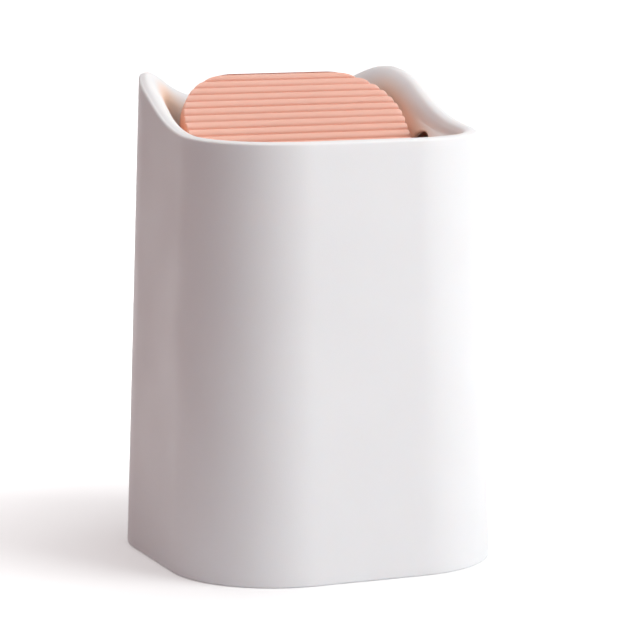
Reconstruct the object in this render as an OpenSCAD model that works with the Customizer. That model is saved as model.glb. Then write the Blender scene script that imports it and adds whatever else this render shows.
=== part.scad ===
// Push top countertop bin: a tapered cover with two ear peaks, a ribbed swing flap and a lift-out bucket.
// Millimetres, +Z up. The origin is on the table under the middle of the cover; the front is towards -Y.

/* [Cover] */
// Width and depth of the cover at the table
base_w = 140; // [136:1:150]
// Width and depth of the cover at the height of the ear peaks
top_w = 127.6; // [126:0.2:132]
// Corner radius of the cover at the table
base_corner = 45.6; // [40:0.2:50]
// Thickness of the cover's outer wall
wall = 2.2; // [1.6:0.1:2.6]
// Small rounding of the cover's bottom edge
foot_round = 1; // [0.4:0.1:1.6]

/* [Wavy rim] */
// Height of the low front rim
front_h = 179.6; // [178:0.2:184]
// Height of the ear peaks
ear_h = 201.8; // [194:0.2:210]
// Height of the rim in the middle of the back
back_h = 188.6; // [184:0.2:192]
// Direction of each ear peak, in degrees from the front
ear_dir = 126; // [117:4.5:130.5]
// Angular spread of the rise from the side to the ear
side_spread = 30.6; // [26:0.2:36]
// Angular spread of the fall from the ear to the back
back_spread = 20.2; // [18:0.2:26]
// Rounding of the rim's outer edge
rim_round = 1; // [0.8:0.1:2]
// Distance from the outer face to the start of the funnel wall at the front
roll_w = 7.9; // [7.4:0.1:9]
// Drop from the rim's crest to the start of the funnel wall at the front
roll_drop = 4.8; // [4.2:0.1:5.6]
// Extra distance of the same at the ears
ear_roll_w = 3.5; // [2:0.1:4]
// Extra drop of the same at the ears
ear_roll_drop = 6.6; // [4:0.2:8]

/* [Funnel throat] */
// Width and depth of the opening that the flap swings in
throat_w = 104; // [103:0.2:106]
// Height at which the funnel wall has become upright
throat_top = 170.5; // [170:0.1:171.4]
// Height of the funnel wall's lower edge
throat_low = 166; // [165.8:0.1:166.6]
// Thickness of the funnel wall
funnel_t = 1.8; // [1.4:0.1:1.9]
// Width of the arch cut into the funnel wall over each pivot
arch_w = 16; // [12:0.5:18]
// Height of the arch's crown over the level where the funnel wall has become upright
arch_rise = 6.5; // [4:0.5:7.5]

/* [Flap] */
// Gap all round between the flap and the throat
flap_gap = 2.25; // [1.8:0.05:3]
// Straight run of each side of the flap and throat, from its middle to the corner
side_flat = 21.4; // [18:0.1:24]
// Radius of the flap's gentle crown from front to back
crown_r = 250; // [230:5:400]
// Height of the rib crests over the pivot axis, in the middle of the flap
crest_h = 6; // [5.8:0.1:6.6]
// Distance from one rib to the next
rib_pitch = 3.85; // [3.5:0.05:4]
// Radius of each rib
rib_r = 2.1; // [2.05:0.05:2.3]
// Number of ribs
rib_count = 26; // [22:2:26]
// Depth of the grooves between the ribs
groove_depth = 1.1; // [0.6:0.1:1.2]
// Thickness of the flap's plate under the grooves
plate_t = 1.8; // [1.4:0.1:2]
// Thickness of the skirt round the flap
skirt_t = 1.8; // [1.4:0.1:2.2]
// Depth of the flap's flat underside below the pivot axis
under_depth = 3.6; // [3.4:0.1:4.4]
// Thickness of the flap's underside plate
under_t = 1.5; // [1.3:0.1:1.7]
// Tilt of the flap at rest, back edge up, in degrees
flap_tilt = 50.5; // [0:0.5:60]

/* [Pivot] */
// Height of the pivot axis above the table
pivot_z = 162; // [161.8:0.1:162]
// Radius of the pivot pins
pin_r = 1.75; // [1.5:0.05:1.9]
// Running clearance round a pin
pin_clear = 0.05; // [0.02:0.01:0.1]
// Radius of a pin's head
pin_head_r = 3; // [2.6:0.1:3.4]
// Thickness of a pin's head
pin_head_t = 1.4; // [1:0.1:1.8]
// Depth of a pin's seat in the flap
pin_seat = 7.5; // [6:0.5:9]
// Outer radius of the bored bosses on the pivot frame
boss_r = 3.6; // [3.2:0.1:3.6]
// Share of the room beside the throat that each boss takes up
boss_share = 0.46; // [0.4:0.01:0.5]
// Gap at either end of a pin
pin_end_gap = 0.2; // [0.1:0.05:0.4]
// Half width of the blocks under the flap that hold the pins
block_half = 4; // [3.6:0.1:5]
// Height of those blocks over the pivot axis
block_top = 2.4; // [2.2:0.1:2.6]

/* [Pivot frame] */
// Height of the frame's lower edge
frame_low = 156.5; // [155:0.5:158]
// Wall of the frame
frame_t = 2; // [1.6:0.1:2.2]
// Height of the sleeve that clips round the funnel's lower end
sleeve_h = 3.8; // [3:0.1:4]
// Thickness of the frame's ledge below the funnel's lower edge
ledge_t = 2; // [1.6:0.1:2.6]
// Assembly gap between parts that clip or drop together
fit_gap = 0.3; // [0.2:0.05:0.4]

/* [Balance weight and screws] */
// Length of the steel balance strip
weight_l = 60; // [40:2:70]
// Width of the steel balance strip
weight_w = 8; // [6:0.5:10]
// Thickness of the steel balance strip
weight_t = 2.5; // [1.5:0.1:3]
// Gap between the strip and the two ribs that hold it
weight_gap = 0.2; // [0.1:0.05:0.4]
// Thickness of those ribs
weight_rib_t = 1.2; // [0.8:0.1:1.6]
// Height of those ribs over the underside plate
weight_rib_h = 2; // [1.2:0.1:2.6]
// Distance of the flap screws from the middle, to the sides
screw_x = 28; // [24:1:32]
// Distance of the flap screws from the middle, to the front and back
screw_y = 26; // [20:1:28]
// Radius of a screw's shank
screw_r = 1.25; // [1:0.05:1.4]
// Radius of a screw's head
screw_head_r = 2.4; // [2:0.1:2.8]
// Thickness of a screw's head
screw_head_t = 0.8; // [0.6:0.05:0.9]
// Clearance round a screw
screw_clear = 0.05; // [0.03:0.01:0.2]
// Gap between a screw's tip and the end of its bore
screw_end_gap = 0.4; // [0.2:0.1:1]
// Radius of the posts that the screws bite into
post_r = 3; // [2.6:0.1:3.6]
// Height of the posts
post_h = 4.4; // [3.4:0.1:4.6]
// Depth of the bore in a post
post_bore = 3.4; // [3:0.1:4]

/* [Bucket] */
// Width and depth of the bucket at its bottom
bucket_low_w = 100; // [92:1:102]
// Width and depth of the bucket under its rim
bucket_top_w = 118; // [112:0.5:120]
// Corner radius of the bucket at its bottom
bucket_low_corner = 32; // [26:1:36]
// Corner radius of the bucket at its top
bucket_top_corner = 38; // [34:1:42]
// Height of the bucket's rim above the table
bucket_h = 150; // [120:1:152]
// Wall of the bucket
bucket_t = 1.6; // [1.2:0.1:2]
// Thickness of the bucket's floor
bucket_floor = 2; // [1.5:0.1:3]
// How far the bucket's rim stands out
bucket_lip = 2; // [1:0.1:2.4]
// Thickness of the bucket's rim
bucket_lip_t = 2.4; // [1.6:0.1:4]

/* [Base tray] */
// Gap between the base tray and the cover
tray_gap = 0.6; // [0.4:0.05:1]
// Height of the tray's underside above the table
tray_low = 1.2; // [1:0.1:1.6]
// Thickness of the tray's plate
tray_t = 3.2; // [2.4:0.1:4]
// Gap between the bucket and the tray's locating wall
seat_gap = 0.9; // [0.6:0.1:2]
// Height of the tray's locating wall
seat_h = 7.6; // [4:0.2:12]
// Thickness of the tray's locating wall
seat_t = 1.8; // [1.4:0.1:2.4]
// Width of each grip tongue
tongue_w = 16; // [10:1:24]
// Height of each grip tongue
tongue_h = 11.6; // [8:0.2:16]
// Thickness of each grip tongue
tongue_t = 1.9; // [1.4:0.1:2.4]
// Thickness of the rounded rib on each tongue
nub_t = 0.7; // [0.4:0.05:0.9]
// Height of that rib
nub_h = 3; // [2:0.2:4]

/* [Feet] */
// Radius of each anti-slip pad
pad_r = 7; // [5:0.5:9]
// Thickness of each anti-slip pad
pad_t = 1.8; // [1.7:0.05:2.4]
// Distance of each pad from the middle, to the sides and to front and back
pad_pos = 40; // [30:1:44]

/* [Hidden] */
$fn = 96;
// Overlap that makes a cut or a joined feature run past a face
eps = 0.01;
// How far a through cut runs past the part
past = 1;
// Material behind the end of a pin's seat
block_end = 2;
// Number of sections round the cover
stations = 80;
// Number of segments round the bucket's corners
hull_fn = 32;
white = [0.95, 0.945, 0.94];
pale = [0.86, 0.86, 0.85];
peach = [0.96, 0.73, 0.66];

// Points of the rolled rim, measured in from the rounding of its outer edge and down from its crest
crest_in = 2;
edge_drop = 0.4;
shoulder_in = 4;
shoulder_drop = 0.6;
bend_in = 1.4;
bend_share = 0.42;
under_in = 3.2;
under_drop = 2.9;
wall_drop = 6;
// Powers of the rise to an ear and of the fall behind it
rise_power = 1.7;
fall_power = 2.3;
// Share of the funnel's upright end that is missing under the crown of an arch
arch_edge = 0.8;

base_half = base_w / 2;
taper = (base_w - top_w) / 2 / ear_h;
throat_half = throat_w / 2;
throat_corner = throat_half - side_flat;
flap_half = throat_half - flap_gap;
flap_corner = flap_half - side_flat;
frame_top = throat_low - fit_gap;
sleeve_in = throat_half + funnel_t + fit_gap;
sleeve_out = sleeve_in + frame_t;
under_top = under_t - under_depth;
cavity_half = flap_half - skirt_t;
cavity_corner = cavity_half - side_flat;
plate_half = cavity_half - fit_gap / 2;
plate_r = crown_r - groove_depth;
cavity_r = plate_r - plate_t;
crown_z = crest_h - crown_r;
seat_in = plate_half - pin_seat;
block_in = seat_in - block_end;
boss_len = (half_at(pivot_z) - wall - throat_half) * boss_share;
boss_end = throat_half + boss_len;
head_room = pin_head_t + 2 * pin_end_gap;
tray_top = tray_low + tray_t;
tray_half = half_at(tray_top) - wall - tray_gap;
tray_corner = corner_at(tray_top) - wall - tray_gap;
seat_half = bucket_low_w / 2 + seat_gap;
seat_corner = bucket_low_corner + seat_gap;

// Half width of the cover's outer face at height z
function half_at(z) = base_half - taper * z;

// Corner radius of the cover's outer face at height z, in step with its width
function corner_at(z) = base_corner * half_at(z) / base_half;

// Distance from the middle to a rounded square of half width a and corner radius r, along plan angle u
function reach(a, r, u) =
    let (c = abs(cos(u)), s = abs(sin(u)), m = a - r, far = a / max(c, s), b = m * (c + s))
    far * min(c, s) <= m ? far : b + sqrt(b * b - 2 * m * m + r * r);

// Point at distance d along plan angle u, counted from the front, at height z
function plan_point(d, u, z) = [d * sin(u), -d * cos(u), z];

// Point on the cover, set in by the depth inset from its outer face
function cover_point(inset, u, z) =
    plan_point(reach(half_at(z) - inset, corner_at(z) - inset, u), u, z);

// Share of an ear's height at a plan angle: a soft rise from the side and a shorter fall to the back
function rise_share(a) = exp(-pow(abs(ear_dir - a) / side_spread, rise_power));
function fall_share(a) = exp(-pow(abs(a - ear_dir) / back_spread, fall_power));
function rim_height(u) =
    let (a = u > 180 ? 360 - u : u)
    a < ear_dir ? front_h + (ear_h - front_h) * rise_share(a) : back_h + (ear_h - back_h) * fall_share(a);

// Share of an arch's rise at a plan angle: half an ellipse over each pivot
function arch_share(u) =
    let (off = abs(90 - (u > 180 ? 360 - u : u)), span = atan(arch_w / throat_w))
    off < span ? sqrt(1 - pow(off / span, 2)) : 0;

// Point of the funnel wall, from the rolled rim (v = 0) to the upright throat (v = 1)
function funnel_point(u, v, h, share, out) =
    let (z0 = h - roll_drop - ear_roll_drop * share, inset = roll_w + ear_roll_w * share,
        start = reach(half_at(z0) - inset, corner_at(z0) - inset, u),
        end = reach(throat_half, throat_corner, u),
        blend = 1 - (1 - v) * (1 - v))
    plan_point(start + (end - start) * blend + out, u, z0 + (throat_top - z0) * v);

// Closed section of the cover at plan angle u, up the outside, over the rim, down the funnel and back
function section(u) =
    let (h = rim_height(u), share = (h - front_h) / (ear_h - front_h), edge = h - edge_drop,
        bend = roll_drop * bend_share + ear_roll_drop * share * 0.5, arch = arch_share(u),
        low = 1 - arch * arch_rise / (h - roll_drop - ear_roll_drop * share - throat_top),
        down = [0, 0, (throat_top - throat_low) * (1 - arch * arch_edge)])
    concat(
        [cover_point(foot_round, u, 0)],
        [cover_point(foot_round * 0.3, u, foot_round * 0.3)],
        [for (z = [foot_round, front_h * 0.5]) cover_point(0, u, z)],
        [for (a = [0 : 30 : 90]) cover_point(rim_round * (1 - cos(a)), u, edge - rim_round * (1 - sin(a)))],
        [cover_point(rim_round + crest_in, u, h)],
        [cover_point(rim_round + shoulder_in, u, edge - shoulder_drop * share)],
        [cover_point(roll_w - bend_in + ear_roll_w * share * shoulder_drop, u, h - bend)],
        [for (v = [0, 0.2, 0.45, 0.72, 1]) funnel_point(u, v * low, h, share, 0)],
        [for (out = [0, funnel_t]) funnel_point(u, low, h, share, out) - down],
        [for (v = [1, 0.5, 0]) funnel_point(u, v * low, h, share, funnel_t)],
        [cover_point(rim_round + under_in, u, h - under_drop - share)],
        [cover_point(wall, u, h - wall_drop)],
        [cover_point(wall, u, 0)]
    );

// Rounded square in the plan, made of two bars and four corner discs
module round_square(half, corner) {
    square([2 * half, 2 * (half - corner)], center = true);
    square([2 * (half - corner), 2 * half], center = true);
    for (x = [-1, 1], y = [-1, 1])
        translate([x * (half - corner), y * (half - corner)])
            circle(r = corner);
}

// Upright rounded square ring between two half widths
module square_ring(out_half, out_corner, in_half, in_corner, low, high) {
    translate([0, 0, low])
        linear_extrude(high - low)
            difference() {
                round_square(out_half, out_corner);
                round_square(in_half, in_corner);
            }
}

// Such a ring whose corners share the centres of the throat's corners
module side_ring(out_half, in_half, low, high) {
    square_ring(out_half, out_half - side_flat, in_half, in_half - side_flat, low, high);
}

// Upright rounded square block
module square_block(half, corner, low, high) {
    translate([0, 0, low])
        linear_extrude(high - low)
            round_square(half, corner);
}

// Tapered rounded square block between two levels
module taper_block(low_half, low_corner, low, high_half, high_corner, high) {
    hull() {
        square_block(low_half, low_corner, low, low + eps, $fn = hull_fn);
        square_block(high_half, high_corner, high - eps, high, $fn = hull_fn);
    }
}

// Cylinder along X from one side coordinate to another
module side_rod(r, x0, x1) {
    translate([x0, 0, 0])
        rotate([0, 90, 0])
            cylinder(r = r, h = x1 - x0);
}

// Shape drawn in the side plane (front to back, up) and run from side to side
module side_run(half) {
    translate([-half, 0, 0])
        rotate([90, 0, 90])
            linear_extrude(2 * half)
                children();
}

// The flap's own frame: origin on the pivot axis, +Y to the back edge, +Z out of the ribs
module flap_place() {
    translate([0, 0, pivot_z])
        rotate([flap_tilt, 0, 0])
            children();
}

module four_screws() {
    for (x = [-1, 1], y = [-1, 1])
        translate([x * screw_x, y * screw_y, 0])
            children();
}

module outer_cover() {
    turn = 360 / stations;
    rows = len(section(0));
    points = [for (i = [0 : stations - 1]) each section(i * turn)];
    color(white)
        polyhedron(
            points = points,
            faces = [for (i = [0 : stations - 1], j = [0 : rows - 1], side = [0, 1])
                let (i2 = (i + 1) % stations, j2 = (j + 1) % rows,
                    a = i * rows + j, b = i2 * rows + j, c = i2 * rows + j2, d = i * rows + j2)
                side == 0 ? [a, c, b] : [a, d, c]],
            convexity = 8
        );
}

module pivot_frame() {
    color(pale)
        difference() {
            union() {
                side_ring(throat_half + frame_t, throat_half, frame_low, frame_top);
                side_ring(sleeve_out, throat_half, frame_top - ledge_t, frame_top);
                side_ring(sleeve_out, sleeve_in, frame_top - eps, frame_top + sleeve_h);
                translate([0, 0, pivot_z]) {
                    side_rod(boss_r, throat_half, boss_end);
                    side_rod(boss_r, -boss_end, -throat_half);
                }
            }
            translate([0, 0, pivot_z]) {
                side_rod(pin_r + pin_clear, throat_half - past, boss_end + past);
                side_rod(pin_r + pin_clear, -boss_end - past, -throat_half + past);
                side_rod(pin_head_r + fit_gap, boss_end, boss_end + head_room);
                side_rod(pin_head_r + fit_gap, -boss_end - head_room, -boss_end);
            }
        }
}

// Side view of the ribbed and crowned flap, filled down to its underside
module flap_side() {
    intersection() {
        translate([0, crown_z])
            union() {
                circle(r = plate_r, $fn = 360);
                for (i = [0 : rib_count - 1])
                    rotate((i - (rib_count - 1) / 2) * rib_pitch / crown_r * 180 / PI)
                        translate([0, crown_r - rib_r])
                            circle(r = rib_r);
            }
        translate([-flap_half - past, -under_depth])
            square([2 * (flap_half + past), under_depth + crest_h + past]);
    }
}

module flap_cavity() {
    intersection() {
        square_block(cavity_half, cavity_corner, -under_depth - past, crest_h);
        side_run(flap_half)
            intersection() {
                translate([0, crown_z])
                    circle(r = cavity_r, $fn = 360);
                translate([-flap_half, -under_depth - past])
                    square([2 * flap_half, under_depth + crest_h + past]);
            }
    }
}

module flap_panel() {
    color(peach)
        flap_place()
            difference() {
                union() {
                    difference() {
                        intersection() {
                            side_run(flap_half + past)
                                flap_side();
                            square_block(flap_half, flap_corner, -under_depth, crest_h + past);
                        }
                        flap_cavity();
                    }
                    four_screws()
                        translate([0, 0, under_top])
                            cylinder(r = post_r, h = post_h);
                }
                four_screws()
                    translate([0, 0, under_top - past])
                        cylinder(r = screw_r + screw_clear, h = post_bore + past);
                side_rod(pin_r + 2 * pin_clear, -flap_half - past, -cavity_half + past);
                side_rod(pin_r + 2 * pin_clear, cavity_half - past, flap_half + past);
            }
}

module flap_underside() {
    color(peach)
        flap_place()
            difference() {
                union() {
                    square_block(plate_half, plate_half - side_flat, -under_depth, under_top);
                    for (x = [block_in, -plate_half])
                        translate([x, -block_half, under_top - eps])
                            cube([plate_half - block_in, 2 * block_half, block_top - under_top]);
                    for (y = [weight_w / 2 + weight_gap, -weight_w / 2 - weight_gap - weight_rib_t])
                        translate([-weight_l / 2, y, under_top - eps])
                            cube([weight_l, weight_rib_t, weight_rib_h]);
                }
                side_rod(pin_r + pin_clear, seat_in, plate_half + past);
                side_rod(pin_r + pin_clear, -plate_half - past, -seat_in);
                four_screws() {
                    translate([0, 0, -under_depth - past])
                        cylinder(r = screw_r + 2 * screw_clear, h = under_t + 2 * past);
                    translate([0, 0, -under_depth - past])
                        cylinder(r = screw_head_r + 2 * screw_clear, h = screw_head_t + past);
                }
            }
}

module balance_weight() {
    color("silver")
        flap_place()
            translate([-weight_l / 2, -weight_w / 2, under_top])
                cube([weight_l, weight_w, weight_t]);
}

module flap_screws() {
    color("silver")
        flap_place()
            four_screws()
                translate([0, 0, -under_depth]) {
                    cylinder(r = screw_head_r, h = screw_head_t);
                    cylinder(r = screw_r, h = under_t + post_bore - screw_end_gap);
                }
}

module pivot_pin() {
    head_face = boss_end + pin_end_gap;
    color("silver")
        flap_place() {
            side_rod(pin_r, seat_in + pin_end_gap, head_face + eps);
            side_rod(pin_head_r, head_face, head_face + pin_head_t);
        }
}

module right_pivot_pin() {
    pivot_pin();
}

module left_pivot_pin() {
    mirror([1, 0, 0])
        pivot_pin();
}

module inner_bucket() {
    low_half = bucket_low_w / 2;
    top_half = bucket_top_w / 2;
    color(pale) {
        difference() {
            union() {
                taper_block(low_half, bucket_low_corner, tray_top, top_half, bucket_top_corner, bucket_h);
                square_block(top_half + bucket_lip, bucket_top_corner + bucket_lip,
                    bucket_h - bucket_lip_t, bucket_h, $fn = hull_fn);
            }
            taper_block(low_half - bucket_t, bucket_low_corner - bucket_t, tray_top + bucket_floor,
                top_half - bucket_t, bucket_top_corner - bucket_t, bucket_h + eps);
        }
    }
}

// Grip tongue on the +Y side: an upright leaf whose rib bears on the inside of the cover
module grip_tongue() {
    face = half_at(tray_top + tongue_h) - wall - fit_gap;
    translate([-tongue_w / 2, face - nub_t - tongue_t, tray_top - eps])
        cube([tongue_w, tongue_t, tongue_h]);
    translate([-tongue_w / 2, face - nub_t - eps, tray_top + tongue_h - nub_h - 1])
        cube([tongue_w, nub_t, nub_h]);
}

module base_tray() {
    color(white)
        difference() {
            union() {
                square_block(tray_half, tray_corner, tray_low, tray_top);
                square_ring(seat_half + seat_t, seat_corner + seat_t, seat_half, seat_corner,
                    tray_top - eps, tray_top + seat_h);
                for (a = [0 : 90 : 270])
                    rotate([0, 0, a])
                        grip_tongue();
            }
            for (x = [-pad_pos, pad_pos], y = [-pad_pos, pad_pos])
                translate([x, y, tray_low - 1])
                    cylinder(r = pad_r + fit_gap, h = pad_t - tray_low + 1);
        }
}

module foot_pads() {
    color("dimgray")
        for (x = [-pad_pos, pad_pos], y = [-pad_pos, pad_pos])
            translate([x, y, 0])
                cylinder(r = pad_r, h = pad_t);
}

outer_cover();
pivot_frame();
flap_panel();
flap_underside();
balance_weight();
flap_screws();
left_pivot_pin();
right_pivot_pin();
inner_bucket();
base_tray();
foot_pads();
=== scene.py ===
import math

import bpy
import numpy as np
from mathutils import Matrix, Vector


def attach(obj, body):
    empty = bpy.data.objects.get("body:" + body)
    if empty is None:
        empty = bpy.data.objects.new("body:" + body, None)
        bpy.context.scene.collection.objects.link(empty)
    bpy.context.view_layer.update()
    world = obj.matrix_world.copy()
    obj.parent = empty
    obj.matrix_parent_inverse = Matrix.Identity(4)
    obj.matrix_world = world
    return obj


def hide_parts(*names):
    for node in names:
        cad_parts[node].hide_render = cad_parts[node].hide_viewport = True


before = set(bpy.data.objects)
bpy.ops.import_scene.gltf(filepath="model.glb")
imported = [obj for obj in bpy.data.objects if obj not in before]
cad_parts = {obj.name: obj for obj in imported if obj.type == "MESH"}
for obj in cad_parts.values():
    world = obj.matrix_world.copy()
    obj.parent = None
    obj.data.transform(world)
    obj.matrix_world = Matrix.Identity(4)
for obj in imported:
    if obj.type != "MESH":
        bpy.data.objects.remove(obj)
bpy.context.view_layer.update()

# Foot pads: four soft rubber discs, pressed into shallow seats under the base tray.
# Each is turned with three fine rings on its sole, so that the bin doesn't slide on a worktop.
PAD_R, PAD_T, PAD_POS = 7.0, 1.8, 40.0
# Bends of this radius in metres or less count as full edges, and corners over this angle stay sharp
EDGE_RADIUS, SHARP_DEG = 0.0012, 40


def skin(grid, loop=False, first=None, last=None):
    """Points and faces of a surface given as rows x columns of points in millimetres.
    The columns close round the piece; loop closes the rows too; first and last are the points that close
    the first and the last row with a fan. Rows that climb the outside of a piece, with columns turning
    anticlockwise seen from above, face outwards."""
    rows, cols = grid.shape[:2]
    index = np.arange(rows * cols).reshape(rows, cols)
    turned = np.roll(index, -1, axis=1)
    low, high, low2, high2 = index[:-1], index[1:], turned[:-1], turned[1:]
    if loop:
        low, high, low2, high2 = index, np.roll(index, -1, axis=0), turned, np.roll(turned, -1, axis=0)
    faces = np.stack([low, low2, high2, high], axis=-1).reshape(-1, 4).tolist()
    points = [grid.reshape(-1, 3)]
    if first is not None:
        faces += np.stack([np.full(cols, rows * cols), turned[0], index[0]], axis=-1).tolist()
        points.append(np.array([first], float))
    if last is not None:
        pole = rows * cols + (first is not None)
        faces += np.stack([np.full(cols, pole), index[-1], turned[-1]], axis=-1).tolist()
        points.append(np.array([last], float))
    return np.concatenate(points), faces


def turned_piece(profile, steps, centre=(0, 0, 0)):
    """Solid of revolution about Z: each profile point (r, z) becomes the circle (r sin u, -r cos u, z)
    with u from 0 to 360 degrees; the two ends of the profile lie on the axis."""
    profile = np.array(profile, float)
    u = np.linspace(0, 2 * np.pi, steps, endpoint=False)
    r, z = profile[1:-1, 0][:, None], profile[1:-1, 1][:, None]
    grid = np.stack([r * np.sin(u), -r * np.cos(u), z + 0 * u], axis=-1) + np.array(centre, float)
    ends = [np.array([0, 0, profile[i, 1]]) + np.array(centre, float) for i in (0, -1)]
    return skin(grid, first=ends[0], last=ends[1])


def edge_weight(mesh):
    """Vertex attribute "edge": for each mesh edge the bend is (n1 - n2).(p1 - p2) / |p1 - p2|^2, the inverse
    of the local radius; its mean at a vertex over the edges that meet there, times EDGE_RADIUS, is kept from
    0 to 1."""
    count = len(mesh.vertices)
    place, normal = np.empty(count * 3), np.empty(count * 3)
    mesh.vertices.foreach_get("co", place)
    mesh.vertex_normals.foreach_get("vector", normal)
    ends = np.empty(len(mesh.edges) * 2, int)
    mesh.edges.foreach_get("vertices", ends)
    place, normal, ends = place.reshape(-1, 3), normal.reshape(-1, 3), ends.reshape(-1, 2)
    along = place[ends[:, 0]] - place[ends[:, 1]]
    bend = ((normal[ends[:, 0]] - normal[ends[:, 1]]) * along).sum(1) / np.maximum((along ** 2).sum(1), 1e-12)
    total = np.bincount(ends.ravel(), np.repeat(bend, 2), count)
    mean = total / np.maximum(np.bincount(ends.ravel(), minlength=count), 1)
    layer = mesh.attributes.new("edge", "FLOAT", "POINT")
    layer.data.foreach_set("value", np.clip(mean * EDGE_RADIUS, 0, 1).astype(np.float32))


def make_piece(name, parts, body, nodes, finish):
    """One object from one or more (points in millimetres, faces) parts, in metres, smooth but for its sharp
    corners; it rides on the body, stands for the CAD nodes and takes the finish."""
    points, faces, start = [], [], 0
    for part_points, part_faces in parts:
        points.append(part_points)
        faces += [[i + start for i in face] for face in part_faces]
        start += len(part_points)
    mesh = bpy.data.meshes.new(name)
    mesh.from_pydata((np.concatenate(points) / 1000).tolist(), [], faces)
    mesh.shade_smooth()
    mesh.set_sharp_from_angle(angle=math.radians(SHARP_DEG))
    edge_weight(mesh)
    mesh.materials.append(finish)
    piece = bpy.data.objects.new(name, mesh)
    bpy.context.scene.collection.objects.link(piece)
    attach(piece, body)
    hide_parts(*nodes)
    return piece


def node_tree(name):
    """A new material's nodes, with its Principled shader and a Texture Coordinate node."""
    finish = bpy.data.materials.new(name)
    finish.use_nodes = True
    nodes, links = finish.node_tree.nodes, finish.node_tree.links
    shader = next(n for n in nodes if n.type == "BSDF_PRINCIPLED")
    return finish, nodes, links, shader, nodes.new("ShaderNodeTexCoord")


def soft_noise(nodes, links, place, scale, detail, low, high):
    """Noise over the piece's own coordinates, its value spread from low to high."""
    noise = nodes.new("ShaderNodeTexNoise")
    noise.inputs["Scale"].default_value = scale
    noise.inputs["Detail"].default_value = detail
    spread = nodes.new("ShaderNodeMapRange")
    spread.inputs["From Min"].default_value = 0.3
    spread.inputs["From Max"].default_value = 0.7
    spread.inputs["To Min"].default_value = low
    spread.inputs["To Max"].default_value = high
    links.new(place.outputs["Object"], noise.inputs["Vector"])
    links.new(noise.outputs["Fac"], spread.inputs["Value"])
    return spread.outputs["Result"]


def moulded(name, colour, drift, roughness, grain_scale, grain_depth, wear=0.25, soft=0.0, painted_bounce=None):
    """Moulded plastic or rubber: the colour drifts to a second one in large soft patches, the gloss changes
    in patches a few centimetres wide, fine grain of the mould gives the bump, and edges are paler and
    smoother. An optional attribute blends in painted bounce light: the colour that a coloured neighbour
    reflects on it, painted into the base colour."""
    finish, nodes, links, shader, place = node_tree(name)
    tone = nodes.new("ShaderNodeMix")
    tone.data_type = "RGBA"
    tone.inputs["A"].default_value = (*colour, 1)
    tone.inputs["B"].default_value = (*drift, 1)
    links.new(soft_noise(nodes, links, place, 16, 3, 0, 1), tone.inputs["Factor"])
    edge = nodes.new("ShaderNodeAttribute")
    edge.attribute_name = "edge"
    worn = nodes.new("ShaderNodeMath")
    worn.operation = "MULTIPLY"
    worn.inputs[1].default_value = wear
    links.new(edge.outputs["Fac"], worn.inputs[0])
    rubbed = nodes.new("ShaderNodeMix")
    rubbed.data_type = "RGBA"
    rubbed.inputs["B"].default_value = (*(c + (1 - c) * 0.35 for c in colour), 1)
    links.new(tone.outputs["Result"], rubbed.inputs["A"])
    links.new(worn.outputs["Value"], rubbed.inputs["Factor"])
    links.new(rubbed.outputs["Result"], shader.inputs["Base Color"])
    # Painted bounce light: the attribute's share of the neighbour's reflected colour is mixed into the base
    # colour
    if painted_bounce:
        near, painted_bounce_mix = nodes.new("ShaderNodeAttribute"), nodes.new("ShaderNodeMix")
        near.attribute_name = "painted_bounce"
        painted_bounce_mix.data_type = "RGBA"
        painted_bounce_mix.inputs["B"].default_value = (*painted_bounce, 1)
        links.new(near.outputs["Fac"], painted_bounce_mix.inputs["Factor"])
        links.new(rubbed.outputs["Result"], painted_bounce_mix.inputs["A"])
        links.new(painted_bounce_mix.outputs["Result"], shader.inputs["Base Color"])
    gloss = nodes.new("ShaderNodeMath")
    gloss.operation = "MULTIPLY_ADD"
    gloss.inputs[1].default_value = -0.45
    links.new(worn.outputs["Value"], gloss.inputs[0])
    links.new(soft_noise(nodes, links, place, 45, 4, roughness - 0.05, roughness + 0.05), gloss.inputs[2])
    links.new(gloss.outputs["Value"], shader.inputs["Roughness"])
    wave = nodes.new("ShaderNodeBump")
    wave.inputs["Strength"].default_value = 0.25
    wave.inputs["Distance"].default_value = 0.0004
    links.new(soft_noise(nodes, links, place, 28, 1, 0, 1), wave.inputs["Height"])
    grain = nodes.new("ShaderNodeBump")
    grain.inputs["Strength"].default_value = 0.5
    grain.inputs["Distance"].default_value = grain_depth
    links.new(soft_noise(nodes, links, place, grain_scale, 3, 0, 1), grain.inputs["Height"])
    links.new(wave.outputs["Normal"], grain.inputs["Normal"])
    links.new(grain.outputs["Normal"], shader.inputs["Normal"])
    if soft:
        shader.inputs["Subsurface Weight"].default_value = soft
        shader.inputs["Subsurface Radius"].default_value = (1, 0.8, 0.7)
        shader.inputs["Subsurface Scale"].default_value = 0.002
    return finish


grey_rubber = moulded("pad_rubber", (0.17, 0.17, 0.175), (0.12, 0.12, 0.125), 0.75, 1500, 0.00008, 0.15)
sole = [(0, 0.12), (1.6, 0.12), (1.8, 0), (2.9, 0), (3.1, 0.14), (3.4, 0.14), (3.6, 0), (4.5, 0), (4.7, 0.14),
        (5.0, 0.14), (5.2, 0), (PAD_R - 0.5, 0), (PAD_R - 0.15, 0.15), (PAD_R, 0.5), (PAD_R, PAD_T - 0.3),
        (PAD_R - 0.1, PAD_T - 0.1), (PAD_R - 0.3, PAD_T), (PAD_R - 2, PAD_T), (0, PAD_T)]
make_piece("foot_pad_discs", [turned_piece(sole, 72, (x, y, 0)) for x in (-PAD_POS, PAD_POS)
                              for y in (-PAD_POS, PAD_POS)], "base", ["foot_pads"], grey_rubber)

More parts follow.
